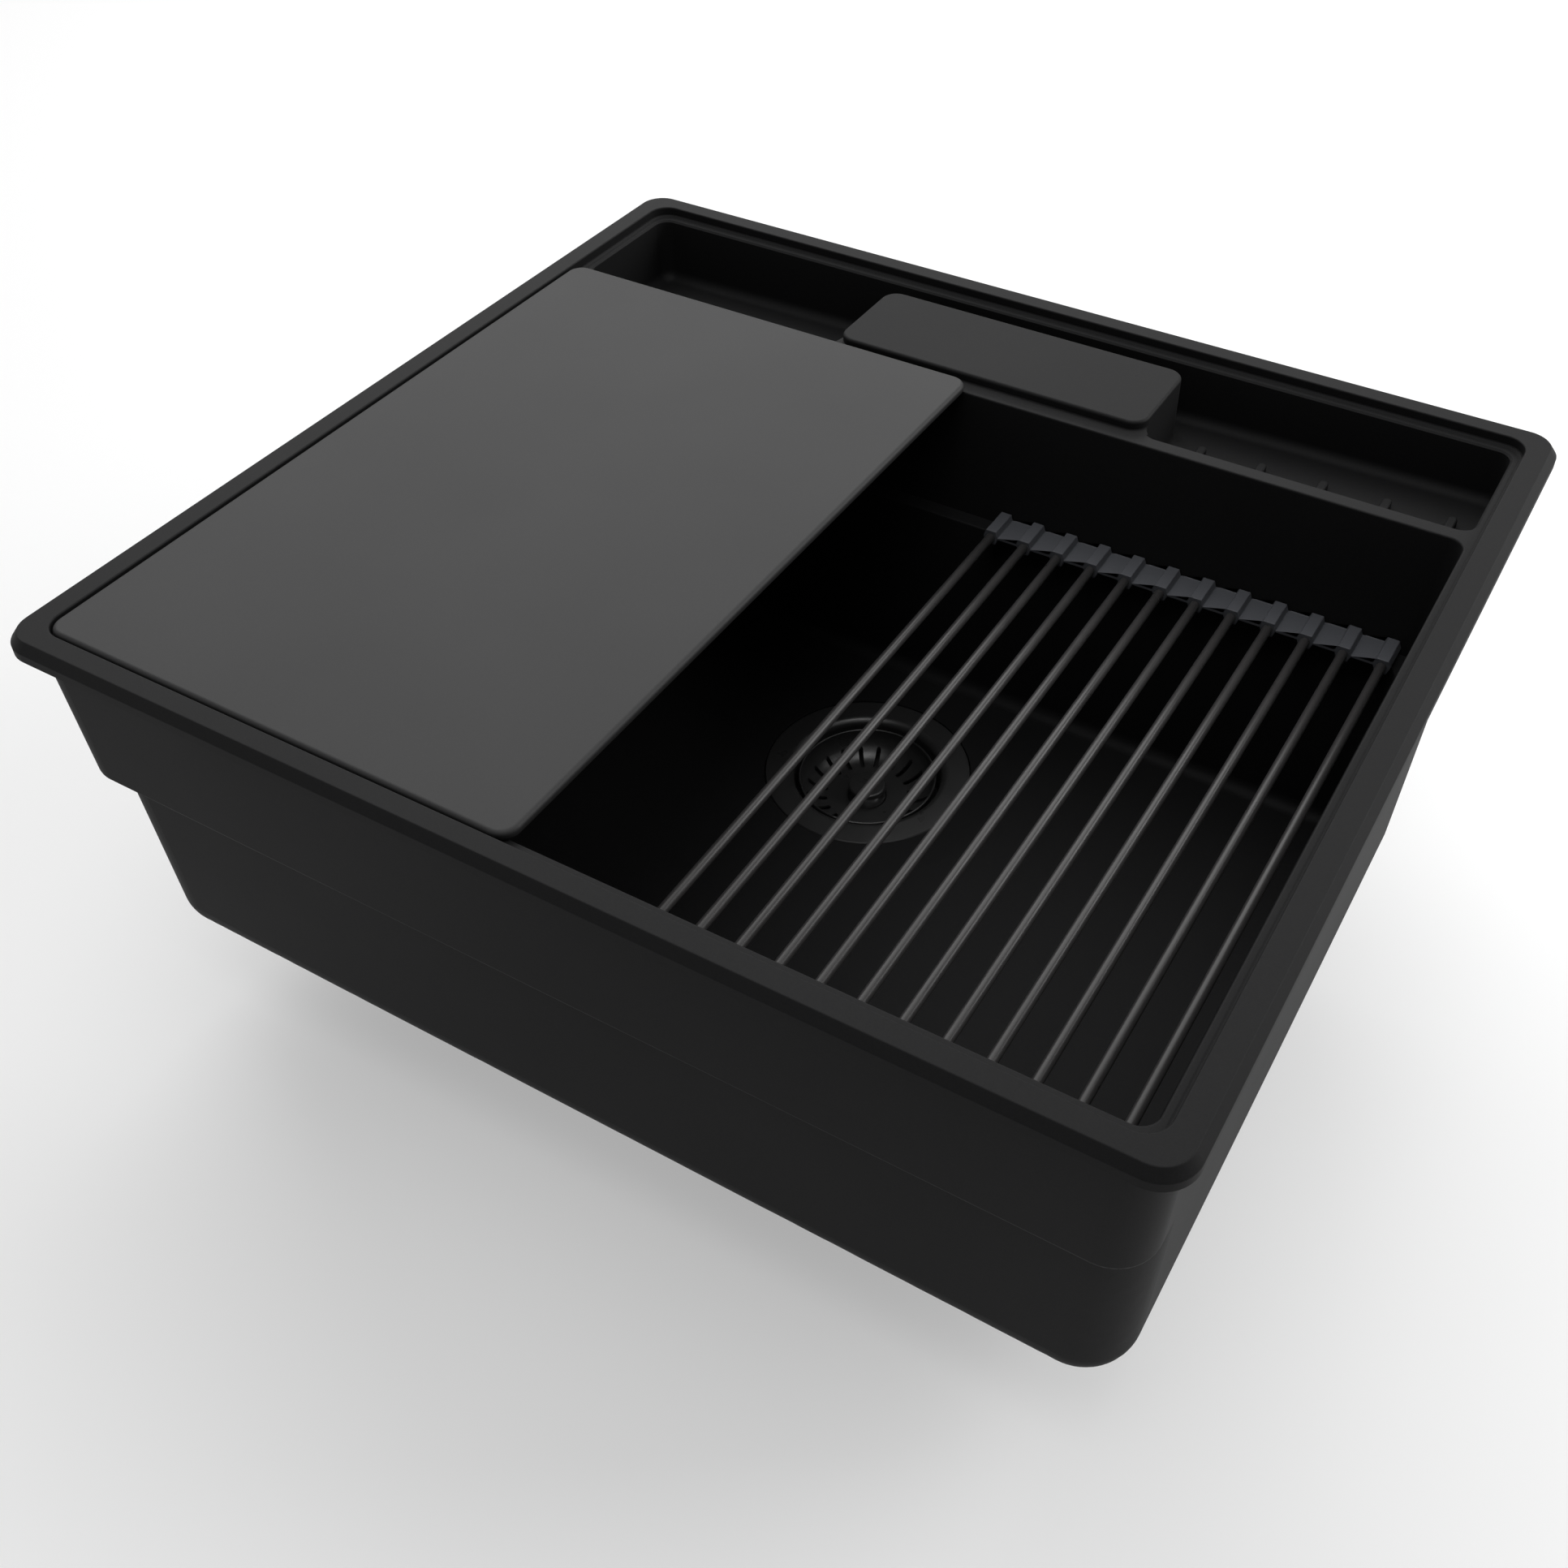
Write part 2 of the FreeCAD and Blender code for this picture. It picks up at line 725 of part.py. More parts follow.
def strainer_flange():
    """The flange and its cup, with a spider that carries the screw."""
    lip = THROAT_RADIUS + THROAT_ROUND
    bend = THROAT_ROUND * QUARTER_ARC
    floor = cup_floor_depth
    outer = THROAT_RADIUS + CUP_WALL
    cup = revolve([
        (FLANGE_RADIUS - FLANGE_EDGE, flange_depth),
        (lip, flange_depth),
        (THROAT_RADIUS, flange_depth + THROAT_ROUND,
         THROAT_RADIUS + bend, flange_depth + bend),
        (THROAT_RADIUS, floor),
        (CUP_OUTLET_RADIUS, floor),
        (CUP_OUTLET_RADIUS, floor + CUP_WALL),
        (outer, floor + CUP_WALL),
        (outer, flange_underside()),
        (FLANGE_RADIUS, flange_underside()),
        (FLANGE_RADIUS, flange_depth + FLANGE_EDGE),
    ])
    top = spider_depth
    arms = spider(CUP_OUTLET_RADIUS + CUP_WALL, top, top + CUP_WALL)
    hub = cylinder(SPIDER_HUB_RADIUS, top, top + SCREW_HEAD_HEIGHT + CUP_WALL)
    return cup.fuse(arms).fuse(hub).cut(waste_screw_hole())


def spider(reach, top, bottom):
    """Two crossed arms round the drain's axis."""
    arms = []
    for length, width in ((2 * reach, ARM_WIDTH), (ARM_WIDTH, 2 * reach)):
        base = FreeCAD.Vector(-length / 2, drain_y - width / 2, z_at(bottom))
        arms.append(Part.makeBox(length, width, bottom - top, base))
    return arms[0].fuse(arms[1])


def waste_screw_hole():
    """The countersunk hole that the waste screw passes."""
    head = Part.makeCone(
        SCREW_RADIUS + PIN_GAP,
        SCREW_HEAD_RADIUS + PIN_GAP,
        SCREW_HEAD_HEIGHT,
        FreeCAD.Vector(0, drain_y, z_at(spider_depth + SCREW_HEAD_HEIGHT)),
    )
    shank = cylinder(SCREW_RADIUS + PIN_GAP, spider_depth, waste_hub_bottom() + OVERCUT)
    return head.fuse(shank)


def waste_screw():
    """The screw that draws the flange and the waste body together."""
    head = Part.makeCone(
        SCREW_RADIUS,
        SCREW_HEAD_RADIUS,
        SCREW_HEAD_HEIGHT,
        FreeCAD.Vector(0, drain_y, z_at(spider_depth + SCREW_HEAD_HEIGHT)),
    )
    shank = cylinder(SCREW_RADIUS, spider_depth + SCREW_HEAD_HEIGHT, waste_hub_bottom())
    slot = Part.makeBox(
        SCREW_SLOT_LENGTH,
        SCREW_SLOT_WIDTH,
        SCREW_SLOT_DEPTH,
        FreeCAD.Vector(
            -SCREW_SLOT_LENGTH / 2,
            drain_y - SCREW_SLOT_WIDTH / 2,
            z_at(spider_depth + SCREW_SLOT_DEPTH),
        ),
    )
    return head.fuse(shank).cut(slot)


def flange_seal():
    """The flat seal between the flange and its seat in the floor."""
    top = flange_underside()
    ring = cylinder(FLANGE_RADIUS - SEAL_INSET, top, top + SEAL_THICKNESS)
    return ring.cut(cylinder(DRAIN_HOLE_RADIUS + SEAL_INSET, top, top + SEAL_THICKNESS))


def strainer_basket():
    """The lift-out basket, with slots that climb its curved wall."""
    top = basket_top
    floor = basket_floor
    wall = BASKET_WALL
    inner = BASKET_RADIUS - wall
    bend = floor - BASKET_CURVE
    inside = BASKET_CURVE * QUARTER_ARC
    outside = (BASKET_CURVE + wall) * QUARTER_ARC
    lip = wall / 2
    brim = lip * QUARTER_ARC
    screw = STOPPER_SCREW_RADIUS + PIN_GAP
    basket = revolve([
        (BASKET_RADIUS, top + lip),
        (BASKET_RADIUS - lip, top, BASKET_RADIUS - brim, top + brim),
        (inner, top + lip, inner + brim, top + brim),
        (inner, bend),
        (basket_floor_radius, floor, inner - inside, floor - inside),
        (screw, floor),
        (screw, stopper_depth),
        (STEM_RADIUS, stopper_depth),
        (STEM_RADIUS, floor + wall),
        (basket_floor_radius, floor + wall),
        (BASKET_RADIUS, bend, BASKET_RADIUS - outside, floor + wall - outside),
    ])
    for index in range(SLOT_COUNT):
        basket = basket.cut(basket_slot(index * 360.0 / SLOT_COUNT))
    return basket


def basket_slot(angle):
    """One round-ended slot, turned round the drain's axis."""
    half = SLOT_WIDTH / 2
    inner = basket_floor_radius - SLOT_IN_FLOOR
    outer = BASKET_RADIUS - BASKET_WALL - SLOT_TO_WALL
    plan = rectangle(inner, outer, drain_y - half, drain_y + half, half)
    slot = prism(plan, basket_top, basket_floor + BASKET_WALL + OVERCUT)
    slot.rotate(FreeCAD.Vector(0, drain_y, 0), FreeCAD.Vector(0, 0, 1), angle)
    return slot


def basket_knob():
    """The knob on a flared foot in the middle of the basket."""
    top = basket_floor - KNOB_HEIGHT
    under = top + KNOB_THICKNESS
    floor = basket_floor
    edge = KNOB_EDGE_ROUND
    bend = edge * QUARTER_ARC
    sweep = (KNOB_FOOT_RADIUS - KNOB_NECK_RADIUS) * QUARTER_ARC
    rise = (floor - under) * QUARTER_ARC
    screw = STOPPER_SCREW_RADIUS + PIN_GAP
    knob = revolve([
        (0.0, top),
        (KNOB_RADIUS - edge, top),
        (KNOB_RADIUS, top + edge, KNOB_RADIUS - bend, top + bend),
        (KNOB_RADIUS, under - edge),
        (KNOB_RADIUS - edge, under, KNOB_RADIUS - bend, under - bend),
        (KNOB_NECK_RADIUS, under),
        (KNOB_FOOT_RADIUS, floor, KNOB_NECK_RADIUS + sweep, floor - rise),
        (0.0, floor),
    ])
    return knob.cut(cylinder(screw, stopper_screw_top() - PIN_GAP, floor))


def stopper_screw_top():
    """The depth that the stopper's screw reaches up to in the knob."""
    return stopper_screw_seat() - STOPPER_SCREW_LENGTH


def stopper_screw_seat():
    """The depth of the face that the stopper screw's head bears on."""
    return stopper_depth + STOPPER_THICKNESS - STOPPER_RECESS


def basket_stopper():
    """The rubber disc that closes the cup's outlet under the basket."""
    top = stopper_depth
    bottom = top + STOPPER_THICKNESS
    disc = cylinder(STOPPER_RADIUS, top, bottom)
    disc = disc.cut(cylinder(STOPPER_SCREW_RADIUS + PIN_GAP, top, bottom))
    return disc.cut(cylinder(STOPPER_SCREW_HEAD + PIN_GAP, stopper_screw_seat(), bottom))


def stopper_screw():
    """The screw that holds the stopper and the knob on the basket."""
    seat = stopper_screw_seat()
    head_height = STOPPER_RECESS - PIN_GAP
    head = cylinder(STOPPER_SCREW_HEAD, seat, seat + head_height)
    return head.fuse(cylinder(STOPPER_SCREW_RADIUS, stopper_screw_top(), seat))


# The waste under the floor


def waste_gasket():
    """The thick gasket between the shell's underside and the waste body."""
    ring = cylinder(WASTE_FLANGE_RADIUS - SEAL_INSET, BODY_DEPTH, waste_depth)
    return ring.cut(cylinder(DRAIN_HOLE_RADIUS + SEAL_INSET, BODY_DEPTH, waste_depth))


def waste_hub_top():
    """The depth of the hub's upper face, under the flange's spider."""
    return spider_depth + SCREW_HEAD_HEIGHT + CUP_WALL


def waste_hub_bottom():
    """The depth of the hub's lower face, where the nut sits."""
    return waste_hub_top() + HUB_HEIGHT


def waste_shape(wall, top, bottom):
    """The waste body's outer form, or its hollow when set in by the wall."""
    slope = math.atan2(WASTE_RADIUS - OUTLET_RADIUS, FUNNEL_HEIGHT)
    raised = wall * math.tan(slope / 2)
    radius = WASTE_RADIUS - wall
    outlet = OUTLET_RADIUS - wall
    return revolve([
        (0.0, top),
        (radius, top),
        (radius, funnel_depth - raised),
        (outlet, outlet_depth - raised),
        (outlet, bottom),
        (0.0, bottom),
    ])


def waste_body():
    """The bucket and outlet under the floor, with a hub for the screw."""
    outer = waste_shape(0.0, waste_depth, TOTAL_HEIGHT)
    flange = cylinder(WASTE_FLANGE_RADIUS, waste_depth, waste_depth + WASTE_FLANGE_THICKNESS)
    hollow = waste_shape(WASTE_WALL, waste_depth - OVERCUT, TOTAL_HEIGHT + OVERCUT)
    arms = spider(WASTE_RADIUS, waste_hub_bottom() - HUB_ARM_HEIGHT, waste_hub_bottom())
    hub = cylinder(NUT_ACROSS_FLATS / 2 + WASTE_WALL, waste_hub_top(), waste_hub_bottom())
    body = outer.fuse(flange).cut(hollow).fuse(arms.common(outer)).fuse(hub)
    return body.cut(waste_screw_hole()).cut(nut_shape(PIN_GAP))


def nut_shape(grow):
    """The nut's six-sided block, set up into the hub from below."""
    radius = (NUT_ACROSS_FLATS / 2 + grow) / math.cos(math.pi / 6)
    depth = waste_hub_bottom()
    points = []
    for index in range(6):
        turn = math.pi / 3 * index
        x = radius * math.cos(turn)
        y = drain_y + radius * math.sin(turn)
        points.append(FreeCAD.Vector(x, y, z_at(depth)))
    face = Part.Face(Part.makePolygon(points + points[:1]))
    return face.extrude(FreeCAD.Vector(0, 0, NUT_HEIGHT))


def waste_nut():
    """The nut in the hub that the waste screw turns into."""
    return nut_shape(0.0).cut(waste_screw_hole())


def all_pieces():
    """Every piece of the sink by its name."""
    pieces = {
        "sink_shell": sink_shell(),
        "cutting_board": cutting_board(),
        "mat_strip_front": mat_strip(False),
        "mat_strip_rear": mat_strip(True),
        "strainer_flange": strainer_flange(),
        "flange_seal": flange_seal(),
        "strainer_basket": strainer_basket(),
        "basket_knob": basket_knob(),
        "basket_stopper": basket_stopper(),
        "stopper_screw": stopper_screw(),
        "waste_gasket": waste_gasket(),
        "waste_body": waste_body(),
        "waste_screw": waste_screw(),
        "waste_nut": waste_nut(),
    }
    for index in range(ROD_COUNT):
        pieces["mat_rod_{:02d}".format(index + 1)] = mat_rod(index)
    return pieces


def main():
    os.makedirs("parts", exist_ok=True)
    for name, shape in all_pieces().items():
        print(name, shape.isValid(), len(shape.Solids), round(shape.Volume))
        shape.exportStep("parts/" + name + ".step")


main()
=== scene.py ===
import json
import math

import bmesh
import bpy
from bpy.props import FloatProperty, FloatVectorProperty, IntProperty, PointerProperty
from mathutils import Euler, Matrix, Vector


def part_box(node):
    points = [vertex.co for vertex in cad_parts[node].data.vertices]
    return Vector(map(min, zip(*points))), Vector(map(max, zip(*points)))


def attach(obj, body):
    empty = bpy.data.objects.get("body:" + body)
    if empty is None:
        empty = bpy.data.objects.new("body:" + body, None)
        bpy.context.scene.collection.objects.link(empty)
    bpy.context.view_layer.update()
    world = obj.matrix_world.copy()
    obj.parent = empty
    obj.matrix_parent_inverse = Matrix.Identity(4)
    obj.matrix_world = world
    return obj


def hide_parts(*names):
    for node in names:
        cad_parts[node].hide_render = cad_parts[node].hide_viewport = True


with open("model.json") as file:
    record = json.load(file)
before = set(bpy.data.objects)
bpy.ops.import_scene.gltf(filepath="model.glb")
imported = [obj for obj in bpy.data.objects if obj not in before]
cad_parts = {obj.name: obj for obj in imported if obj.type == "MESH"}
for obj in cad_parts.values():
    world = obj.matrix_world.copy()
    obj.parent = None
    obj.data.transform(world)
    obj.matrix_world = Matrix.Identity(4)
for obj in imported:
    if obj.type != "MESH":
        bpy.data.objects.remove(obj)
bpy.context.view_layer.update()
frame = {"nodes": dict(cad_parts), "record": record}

bl_info = {
    "name": "Workstation kitchen sink",
    "version": (1, 0, 0),
    "blender": (4, 5, 0),
    "location": "3D View > Sidebar > Sink",
    "description": "Dresses a moulded sink with its board, drying rack and strainer",
    "category": "Object",
}

# Everything is in metres, in the frame of the loaded model: X to the sink's
# right end, Y to its back, Z up.

RIM_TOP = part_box("sink_shell")[1].z

# Drying rack: the nodes of its rods and end strips, with their boxes
BODY_RACK = "drying_rack"
ROD_NODES = sorted(name for name in frame["nodes"] if name.startswith("mat_rod_"))
ROD_BOXES = [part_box(name) for name in ROD_NODES]
STRIP_BOXES = {name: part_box(name) for name in ("mat_strip_rear", "mat_strip_front")}

# A rod's rounded end: its depth as a share of the radius, and where it bends
ROD_EDGE_SHARE = 0.2
ROD_EDGE_BEND = 0.3

# An end strip: six-sided blocks round the rods, joined by a thin web
BLOCK_WIDTH = 0.0087
BLOCK_FLAT_SHARE = 0.68
WEB_THICKNESS = 0.0013
STRIP_ROUNDING_SEGMENTS = 3
STRIP_ROUNDING_ANGLE = math.radians(25)

# Waste outlet: its place and size, and the screw thread round it
OUTLET = next(mount for mount in frame["record"]["mounts"] if mount["name"] == "waste_outlet")
OUTLET_X, OUTLET_Y = OUTLET["pos_m"][:2]
OUTLET_RADIUS = OUTLET["dims"]["r_mm"] / 1000
OUTLET_LENGTH = OUTLET["dims"]["length_mm"] / 1000
THREAD_PITCH = 0.00231
THREAD_DEPTH = 0.0009
THREAD_RUNOUT = 0.003

# Mineral grain: noise seldom lies outside NOISE_LOW and NOISE_HIGH
NOISE_LOW = 0.3
NOISE_HIGH = 0.7
CLOUDS_PER_METRE = 9.0
CLOUD_DETAIL = 3.0
CLOUD_DARK = 0.97
CLOUD_LIGHT = 1.03
GRAIN_DETAIL = 2.0
GRAIN_ROUGHNESS_SPREAD = 0.03
CELL_HEIGHT_SHARE = 0.4

# Satin coat
PATCHES_PER_METRE = 60.0
PATCH_DETAIL = 3.0
PEEL_DETAIL = 1.0

# Colours of the pieces that are mostly hidden
RUBBER_COLOUR = (0.018, 0.018, 0.018, 1.0)
STEEL_COLOUR = (0.56, 0.56, 0.57, 1.0)
BRASS_COLOUR = (0.65, 0.48, 0.20, 1.0)

# Floor and sky
FLOOR_COLOUR = (0.8, 0.8, 0.8, 1.0)
FLOOR_ROUGHNESS = 0.9
FLOOR_GLOW_SHARE = 0.4
SKY_COLOUR = (1.0, 1.0, 1.0, 1.0)

# Lamps: each one's lit rectangle and place
BACK_LAMP_SIZE = (3.0, 2.6)
BACK_LAMP_PLACE = (-1.07, 1.37, 2.19)
SIDE_LAMP_SIZE = (1.5, 1.5)
SIDE_LAMP_PLACE = (1.5, 1.3, 1.3)
TOP_LAMP_SIZE = (1.2, 1.2)
TOP_LAMP_PLACE = (0.25, -0.5, 2.2)

# Camera: the photograph's place and lens, with the lens in the photograph's pixels
IMAGE_SIZE = 1932.0
FOCAL_LENGTH_PIXELS = 2157.3
AXIS_PIXEL_X = 1032.5
AXIS_PIXEL_Y = 885.2
SENSOR_WIDTH_MM = 36.0
CAMERA_YAW = 30.27
CAMERA_PITCH = 41.82
CAMERA_X = 0.3425
CAMERA_Y = -0.5835
CAMERA_ABOVE_RIM = 0.4852


class SinkFinish(bpy.types.PropertyGroup):
    """Colours and surface of the moulded shell and the board."""

    composite_colour: FloatVectorProperty(
        name="Composite colour",
        description="Colour of the moulded shell",
        subtype="COLOR",
        size=4,
        default=(0.0065, 0.0065, 0.0067, 1.0),
        min=0.0,
        max=1.0,
    )
    composite_roughness: FloatProperty(
        name="Composite roughness",
        description="How matt the moulded shell is",
        subtype="FACTOR",
        default=0.6,
        min=0.0,
        max=1.0,
    )
    grain_size: FloatProperty(
        name="Grain size",
        description="Width of the fine grains in the moulded surface",
        unit="LENGTH",
        default=0.00045,
        min=0.0001,
        max=0.01,
    )
    board_colour: FloatVectorProperty(
        name="Board colour",
        description="Colour of the cutting board",
        subtype="COLOR",
        size=4,
        default=(0.012, 0.012, 0.0122, 1.0),
        min=0.0,
        max=1.0,
    )
    board_roughness: FloatProperty(
        name="Board roughness",
        description="How matt the cutting board is",
        subtype="FACTOR",
        default=0.54,
        min=0.0,
        max=1.0,
    )


class RackSizes(bpy.types.PropertyGroup):
    """Sizes and colours of the drying rack's rods and strips."""

    rod_sides: IntProperty(
        name="Rod sides",
        description="How many flats make one rod's round section",
        default=40,
        min=12,
        max=96,
    )
    strip_rounding: FloatProperty(
        name="Strip rounding",
        description="Radius of the soft strips' moulded edges",
        unit="LENGTH",
        default=0.0006,
        min=0.0001,
        max=0.002,
    )
    strip_colour: FloatVectorProperty(
        name="Strip colour",
        description="Colour of the soft end strips",
        subtype="COLOR",
        size=4,
        default=(0.058, 0.0605, 0.068, 1.0),
        min=0.0,
        max=1.0,
    )
    rod_colour: FloatVectorProperty(
        name="Rod colour",
        description="Colour of the rods' dark coating",
        subtype="COLOR",
        size=4,
        default=(0.028, 0.027, 0.027, 1.0),
        min=0.0,
        max=1.0,
    )


class StrainerFinish(bpy.types.PropertyGroup):
    """Colours of the strainer and the waste under the floor."""

    strainer_colour: FloatVectorProperty(
        name="Strainer colour",
        description="Colour of the flange, the basket and the knob",
        subtype="COLOR",
        size=4,
        default=(0.022, 0.022, 0.022, 1.0),
        min=0.0,
        max=1.0,
    )
    waste_colour: FloatVectorProperty(
        name="Waste colour",
        description="Colour of the plastic waste body",
        subtype="COLOR",
        size=4,
        default=(0.030, 0.030, 0.031, 1.0),
        min=0.0,
        max=1.0,
    )


class StageSettings(bpy.types.PropertyGroup):
    """The floor, the lamps and the sky round the sink."""

    floor_size: FloatProperty(
        name="Floor size",
        description="Length of the square floor's sides",
        unit="LENGTH",
        default=14.0,
        min=2.0,
        max=60.0,
    )
    sky_strength: FloatProperty(
        name="Sky strength",
        description="Strength of the even light from all round",
        default=0.06,
        min=0.0,
        max=2.0,
    )
    back_power: FloatProperty(
        name="Back power",
        description="Power of the broad lamp above and behind",
        unit="POWER",
        default=80.0,
        min=0.0,
        max=1000.0,
    )
    side_power: FloatProperty(
        name="Side power",
        description="Power of the broad lamp at the right",
        unit="POWER",
        default=42.0,
        min=0.0,
        max=1000.0,
    )
    top_power: FloatProperty(
        name="Top power",
        description="Power of the weak lamp high over the sink",
        unit="POWER",
        default=17.0,
        min=0.0,
        max=1000.0,
    )


# Meshes


def finish_mesh(name, mesh_maker):
    """A new object from a bmesh that mesh_maker fills in."""
    mesh = bpy.data.meshes.new(name)
    shape = bmesh.new()
    mesh_maker(shape)
    bmesh.ops.recalc_face_normals(shape, faces=shape.faces)
    shape.to_mesh(mesh)
    shape.free()
    piece = bpy.data.objects.new(name, mesh)
    bpy.context.scene.collection.objects.link(piece)
    for face in mesh.polygons:
        face.use_smooth = True
    return piece


def round_strip_edges(strip, width):
    """Rounds a strip's edges and keeps its flats flat to the light."""
    bevel = strip.modifiers.new("rounding", "BEVEL")
    bevel.width = width
    bevel.segments = STRIP_ROUNDING_SEGMENTS
    bevel.limit_method = "ANGLE"
    bevel.angle_limit = STRIP_ROUNDING_ANGLE
    bevel.harden_normals = True
    apply_modifiers(strip)


def apply_modifiers(piece):
    """Turns what a piece's modifiers make into its own mesh."""
    graph = bpy.context.evaluated_depsgraph_get()
    made = bpy.data.meshes.new_from_object(piece.evaluated_get(graph))
    old = piece.data
    piece.modifiers.clear()
    piece.data = made
    made.name = old.name
    bpy.data.meshes.remove(old)


def ring_of_points(shape, centre, radius, sides):
    """A ring of points round the Y axis at a centre."""
    ring = []
    for index in range(sides):
        turn = 2 * math.pi * index / sides
        offset = Vector((math.cos(turn), 0.0, math.sin(turn))) * radius
        ring.append(shape.verts.new(centre + offset))
    return ring


def bridge(shape, first, second):
    """Faces between two rings of as many points."""
    count = len(first)
    for index in range(count):
        following = (index + 1) % count
        shape.faces.new((first[index], first[following], second[following], second[index]))


# Node groups: effects that several materials share


def new_group(name, inputs, outputs):
    """An empty shader node group with named sockets."""
    group = bpy.data.node_groups.new(name, "ShaderNodeTree")
    for socket_name, kind, default in inputs:
        socket = group.interface.new_socket(socket_name, in_out="INPUT", socket_type=kind)
        socket.default_value = default
    for socket_name, kind in outputs:
        group.interface.new_socket(socket_name, in_out="OUTPUT", socket_type=kind)
    start = group.nodes.new("NodeGroupInput")
    end = group.nodes.new("NodeGroupOutput")
    return group, start, end


def feed(tree, socket, value):
    """Sets a socket to a number, or links another socket to it."""
    if isinstance(value, (int, float)):
        socket.default_value = value
    else:
        tree.links.new(value, socket)


def math_node(tree, operation, first, second):
    """A math node whose two inputs are sockets or numbers."""
    node = tree.nodes.new("ShaderNodeMath")
    node.operation = operation
    feed(tree, node.inputs[0], first)
    feed(tree, node.inputs[1], second)
    return node.outputs[0]


def object_position(tree):
    """Object coordinates, which move with the piece."""
    return tree.nodes.new("ShaderNodeTexCoord").outputs["Object"]


def noise(tree, position, scale, detail):
    """A noise value between 0 and 1 at a scale per metre or from a socket."""
    node = tree.nodes.new("ShaderNodeTexNoise")
    tree.links.new(position, node.inputs["Vector"])
    feed(tree, node.inputs["Scale"], scale)
    node.inputs["Detail"].default_value = detail
    return node.outputs["Fac"]


def map_range(tree, value, low, high, new_low, new_high):
    """A value stretched from one range to another, whose ends may be sockets."""
    node = tree.nodes.new("ShaderNodeMapRange")
    tree.links.new(value, node.inputs["Value"])
    names = ("From Min", "From Max", "To Min", "To Max")
    for name, bound in zip(names, (low, high, new_low, new_high)):
        feed(tree, node.inputs[name], bound)
    return node.outputs["Result"]


def vary_round(tree, value, middle, spread):
    """A noise value moved to lie round a middle, by a spread either way."""
    low = math_node(tree, "SUBTRACT", middle, spread)
    high = math_node(tree, "ADD", middle, spread)
    return map_range(tree, value, NOISE_LOW, NOISE_HIGH, low, high)


def scale_colour(tree, colour, factor):
    """A colour made lighter or darker by a factor."""
    node = tree.nodes.new("ShaderNodeVectorMath")
    node.operation = "SCALE"
    tree.links.new(colour, node.inputs[0])
    tree.links.new(factor, node.inputs["Scale"])
    return node.outputs["Vector"]


def build_grain_group():
    """Fine mineral grain: flecks in the colour and a slightly uneven surface."""
    group, start, end = new_group(
        "mineral_grain",
        [
            ("Colour", "NodeSocketColor", (0.02, 0.02, 0.02, 1.0)),
            ("Grains per metre", "NodeSocketFloat", 2000.0),
            ("Fleck strength", "NodeSocketFloat", 0.2),
            ("Roughness", "NodeSocketFloat", 0.5),
            ("Roughness spread", "NodeSocketFloat", 0.05),
        ],
        [
            ("Colour", "NodeSocketColor"),
            ("Roughness", "NodeSocketFloat"),
            ("Height", "NodeSocketFloat"),
        ],
    )
    position = object_position(group)
    density = start.outputs["Grains per metre"]
    cells = group.nodes.new("ShaderNodeTexVoronoi")
    group.links.new(position, cells.inputs["Vector"])
    group.links.new(density, cells.inputs["Scale"])
    fleck = group.nodes.new("ShaderNodeSeparateColor")
    group.links.new(cells.outputs["Color"], fleck.inputs[0])
    strength = start.outputs["Fleck strength"]
    low = math_node(group, "SUBTRACT", 1.0, strength)
    high = math_node(group, "ADD", 1.0, strength)
    factor = map_range(group, fleck.outputs[0], 0.0, 1.0, low, high)
    cloud = noise(group, position, CLOUDS_PER_METRE, CLOUD_DETAIL)
    broad = map_range(group, cloud, NOISE_LOW, NOISE_HIGH, CLOUD_DARK, CLOUD_LIGHT)
    factor = math_node(group, "MULTIPLY", factor, broad)
    group.links.new(scale_colour(group, start.outputs["Colour"], factor), end.inputs["Colour"])
    fine = noise(group, position, density, GRAIN_DETAIL)
    half_fine = math_node(group, "MULTIPLY", fine, 0.5)
    half_cloud = math_node(group, "MULTIPLY", cloud, 0.5)
    mixed = math_node(group, "ADD", half_fine, half_cloud)
    base = start.outputs["Roughness"]
    rough = vary_round(group, mixed, base, start.outputs["Roughness spread"])
    group.links.new(rough, end.inputs["Roughness"])
    cell_height = math_node(group, "MULTIPLY", cells.outputs["Distance"], CELL_HEIGHT_SHARE)
    group.links.new(math_node(group, "ADD", fine, cell_height), end.inputs["Height"])
    return group


def build_satin_group():
    """A satin coat on metal: a faint orange peel and soft patches of gloss."""
    group, start, end = new_group(
        "satin_coat",
        [
            ("Roughness", "NodeSocketFloat", 0.35),
            ("Roughness spread", "NodeSocketFloat", 0.05),
            ("Peel per metre", "NodeSocketFloat", 900.0),
        ],
        [("Roughness", "NodeSocketFloat"), ("Height", "NodeSocketFloat")],
    )
    position = object_position(group)
    patches = noise(group, position, PATCHES_PER_METRE, PATCH_DETAIL)
    base = start.outputs["Roughness"]
    rough = vary_round(group, patches, base, start.outputs["Roughness spread"])
    group.links.new(rough, end.inputs["Roughness"])
    peel = noise(group, position, start.outputs["Peel per metre"], PEEL_DETAIL)
    group.links.new(peel, end.inputs["Height"])
    return group


# Materials


def group_node(tree, name):
    """A copy of a shared node group in a material."""
    node = tree.nodes.new("ShaderNodeGroup")
    node.node_tree = bpy.data.node_groups[name]
    return node


def new_material(name):
    """A material with its Principled BSDF."""
    material = bpy.data.materials.new(name)
    material.use_nodes = True
    return material, material.node_tree, material.node_tree.nodes["Principled BSDF"]


def add_bump(tree, receiver, height, distance):
    """A bump from a height, feeding the normal of a shader or another bump."""
    bump = tree.nodes.new("ShaderNodeBump")
    bump.inputs["Distance"].default_value = distance
    tree.links.new(height, bump.inputs["Height"])
    tree.links.new(bump.outputs["Normal"], receiver.inputs["Normal"])


